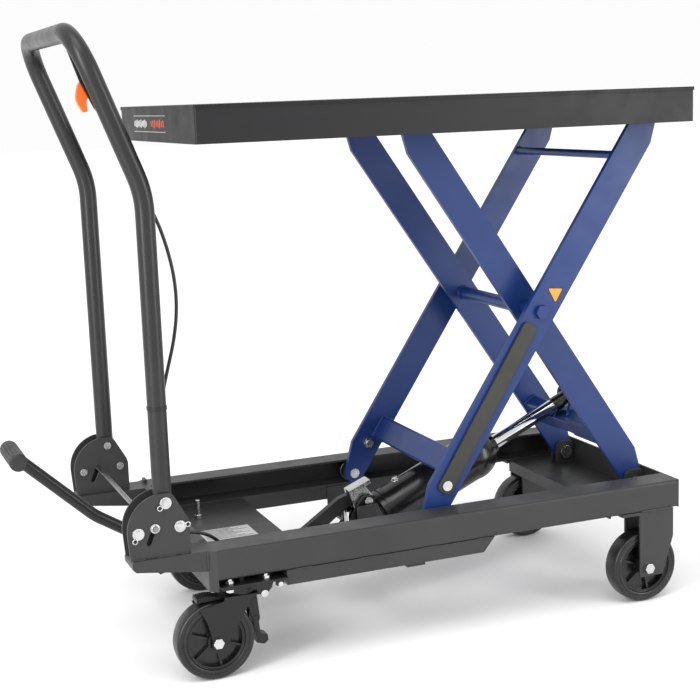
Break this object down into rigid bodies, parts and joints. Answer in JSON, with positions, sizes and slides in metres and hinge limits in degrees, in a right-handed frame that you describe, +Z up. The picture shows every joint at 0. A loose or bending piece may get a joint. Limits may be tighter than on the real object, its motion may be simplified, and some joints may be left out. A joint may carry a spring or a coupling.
{
  "type": "scissor lift table",
  "caption": "Foot-pumped scissor lift table with a flat platform, crossed arms, hydraulic cylinder, push handle, two braked swivel casters and two fixed wheels.",
  "frame": {"origin": "on the floor, under the middle of the object's bounding box; the wheels stand on z = 0", "axes": "+X along the platform from the push handle to the fixed wheels, +Y across it, +Z up"},
  "size_m": [1.253, 0.54, 1.1115],
  "materials": {
    "charcoal_paint": "satin charcoal powder coat",
    "blue_paint": "deep blue gloss powder coat",
    "black_paint": "semi-gloss black paint",
    "zinc": "bright zinc plate",
    "chrome": "hard chrome, polished",
    "dark_steel": "oiled dark steel",
    "tyre_rubber": "smooth black rubber",
    "hub_plastic": "black moulded nylon",
    "pad_rubber": "black moulded rubber",
    "cable_jacket": "black cable jacket",
    "orange_plastic": "orange moulded plastic"
  },
  "bodies": {
    "base": {"rail_near": "charcoal_paint", "rail_far": "charcoal_paint", "lower_rails": "charcoal_paint", "end_beams": "charcoal_paint", "deck_plates": "charcoal_paint", "handle_brackets": "charcoal_paint", "hinge_plates": "charcoal_paint", "hinge_pins": "zinc", "caster_plates": "black_paint", "base_fasteners": "zinc", "fixed_forks": "charcoal_paint", "base_pivot_lugs": "charcoal_paint", "base_pins": "zinc", "pump_crossbeam": "charcoal_paint", "pump_block": "black_paint", "release_cable_lower": "cable_jacket"},
    "handle": {"handle_tube": "charcoal_paint", "lever_bracket": "charcoal_paint", "release_cable_upper": "cable_jacket", "handle_fasteners": "black_paint"},
    "release_lever": {"release_lever": "orange_plastic"},
    "lock_rod": {"lock_rod": "dark_steel", "lock_rod_retainers": "zinc"},
    "foot_pedal": {"pedal_arm": "charcoal_paint", "pedal_pad": "pad_rubber", "pedal_clevis": "zinc"},
    "plunger": {"pump_plunger": "chrome"},
    "cylinder": {"cylinder_body": "black_paint"},
    "piston": {"piston_rod": "chrome", "rod_eye": "black_paint"},
    "inner_arms": {"inner_arm_near": "blue_paint", "inner_arm_far": "blue_paint", "centre_tube": "blue_paint", "cylinder_beam": "blue_paint", "inner_arm_pins": "blue_paint"},
    "outer_arms": {"outer_arm_near": "blue_paint", "outer_arm_far": "blue_paint", "outer_spreaders": "blue_paint", "outer_arm_pins": "dark_steel"},
    "lower_rollers": {"lower_rollers": "dark_steel"},
    "upper_rollers": {"upper_rollers": "dark_steel"},
    "prop_near": {"prop_bar_near": "charcoal_paint"},
    "prop_far": {"prop_bar_far": "charcoal_paint"},
    "platform": {"platform_top": "charcoal_paint", "platform_tracks_and_lugs": "charcoal_paint", "platform_pins": "zinc"},
    "swivel_near": {"swivel_fork_near": "black_paint", "caster_axle_near": "zinc"},
    "brake_near": {"brake_pedal_near": "black_paint"},
    "swivel_wheel_near": {"swivel_tyre_near": "tyre_rubber", "swivel_hub_near": "hub_plastic"},
    "fixed_wheel_near": {"fixed_tyre_near": "tyre_rubber", "fixed_hub_near": "hub_plastic"},
    "swivel_far": {"swivel_fork_far": "black_paint", "caster_axle_far": "zinc"},
    "brake_far": {"brake_pedal_far": "black_paint"},
    "swivel_wheel_far": {"swivel_tyre_far": "tyre_rubber", "swivel_hub_far": "hub_plastic"},
    "fixed_wheel_far": {"fixed_tyre_far": "tyre_rubber", "fixed_hub_far": "hub_plastic"}
  },
  "joints": [
    {"name": "lift", "type": "hinge", "parent": "base", "child": "inner_arms", "pos_m": [0.5725, 0, 0.209], "axis": [0, -1, 0], "range_deg": [0, 49.98]},
    {"name": "scissor_centre", "type": "hinge", "parent": "inner_arms", "child": "outer_arms", "pos_m": [0.3385, 0, 0.575], "axis": [0, -1, 0], "range_deg": [-99.96, 0]},
    {"name": "platform_pivot", "type": "hinge", "parent": "outer_arms", "child": "platform", "pos_m": [0.5725, 0, 0.941], "axis": [0, -1, 0], "range_deg": [0, 49.98]},
    {"name": "cylinder_tilt", "type": "hinge", "parent": "base", "child": "cylinder", "pos_m": [0.0615, 0, 0.1625], "axis": [0, -1, 0], "range_deg": [-6.05, 0]},
    {"name": "piston_slide", "type": "slide", "parent": "cylinder", "child": "piston", "axis": [0.9126, 0, 0.4089], "range_m": [-0.132, 0]},
    {"name": "lower_roller_spin", "type": "hinge", "parent": "outer_arms", "child": "lower_rollers", "pos_m": [0.1045, 0, 0.209], "axis": [0, 1, 0], "continuous": true},
    {"name": "upper_roller_spin", "type": "hinge", "parent": "inner_arms", "child": "upper_rollers", "pos_m": [0.1045, 0, 0.941], "axis": [0, 1, 0], "continuous": true},
    {"name": "prop_swing_near", "type": "hinge", "parent": "outer_arms", "child": "prop_near", "pos_m": [0.13493, 0, 0.27144], "axis": [0, 1, 0], "range_deg": [-128, 0]},
    {"name": "prop_swing_far", "type": "hinge", "parent": "outer_arms", "child": "prop_far", "pos_m": [0.13493, 0, 0.27144], "axis": [0, 1, 0], "range_deg": [-128, 0]},
    {"name": "handle_fold", "type": "hinge", "parent": "base", "child": "handle", "pos_m": [-0.4035, 0, 0.3275], "axis": [0, 1, 0], "range_deg": [0, 6]},
    {"name": "lock_rod_slide", "type": "slide", "parent": "base", "child": "lock_rod", "axis": [-0.4067, 0, -0.9135], "range_m": [0, 0.027]},
    {"name": "release_lever_squeeze", "type": "hinge", "parent": "handle", "child": "release_lever", "pos_m": [-0.474, 0, 1.01183], "axis": [0, -1, 0], "range_deg": [0, 20], "stiffness_Nm_per_rad": 2, "springref_deg": -11.46},
    {"name": "pedal_press", "type": "hinge", "parent": "base", "child": "foot_pedal", "pos_m": [0.0485, 0, 0.2105], "axis": [0, -1, 0], "range_deg": [0, 15], "stiffness_Nm_per_rad": 60, "springref_deg": -17.19},
    {"name": "plunger_stroke", "type": "slide", "parent": "base", "child": "plunger", "axis": [0, 0, -1], "range_m": [0, 0.0121]},
    {"name": "caster_swivel_near", "type": "hinge", "parent": "base", "child": "swivel_near", "pos_m": [-0.2755, -0.222, 0.1055], "axis": [0, 0, 1], "continuous": true},
    {"name": "swivel_wheel_spin_near", "type": "hinge", "parent": "swivel_near", "child": "swivel_wheel_near", "pos_m": [-0.3275, -0.222, 0.07], "axis": [0, 1, 0], "continuous": true},
    {"name": "brake_press_near", "type": "hinge", "parent": "swivel_near", "child": "brake_near", "pos_m": [-0.255, -0.222, 0.0975], "axis": [0, -1, 0], "range_deg": [0, 12]},
    {"name": "fixed_wheel_spin_near", "type": "hinge", "parent": "base", "child": "fixed_wheel_near", "pos_m": [0.5275, -0.232, 0.07], "axis": [0, 1, 0], "continuous": true},
    {"name": "caster_swivel_far", "type": "hinge", "parent": "base", "child": "swivel_far", "pos_m": [-0.2755, 0.222, 0.1055], "axis": [0, 0, 1], "continuous": true},
    {"name": "swivel_wheel_spin_far", "type": "hinge", "parent": "swivel_far", "child": "swivel_wheel_far", "pos_m": [-0.2235, 0.222, 0.07], "axis": [0, 1, 0], "continuous": true},
    {"name": "brake_press_far", "type": "hinge", "parent": "swivel_far", "child": "brake_far", "pos_m": [-0.296, 0.222, 0.0975], "axis": [0, 1, 0], "range_deg": [0, 12]},
    {"name": "fixed_wheel_spin_far", "type": "hinge", "parent": "base", "child": "fixed_wheel_far", "pos_m": [0.5275, 0.232, 0.07], "axis": [0, 1, 0], "continuous": true}
  ],
  "couplings": [
    {"joint": "scissor_centre", "follows": "lift", "ratio": -2},
    {"joint": "platform_pivot", "follows": "lift", "ratio": 1},
    {"joint": "cylinder_tilt", "follows": "lift", "ratio": -0.12},
    {"joint": "piston_slide", "follows": "lift", "m_per_rad": -0.151},
    {"joint": "lock_rod_slide", "follows": "handle_fold", "m_per_rad": 0.2575},
    {"joint": "plunger_stroke", "follows": "pedal_press", "m_per_rad": 0.0458}
  ]
}
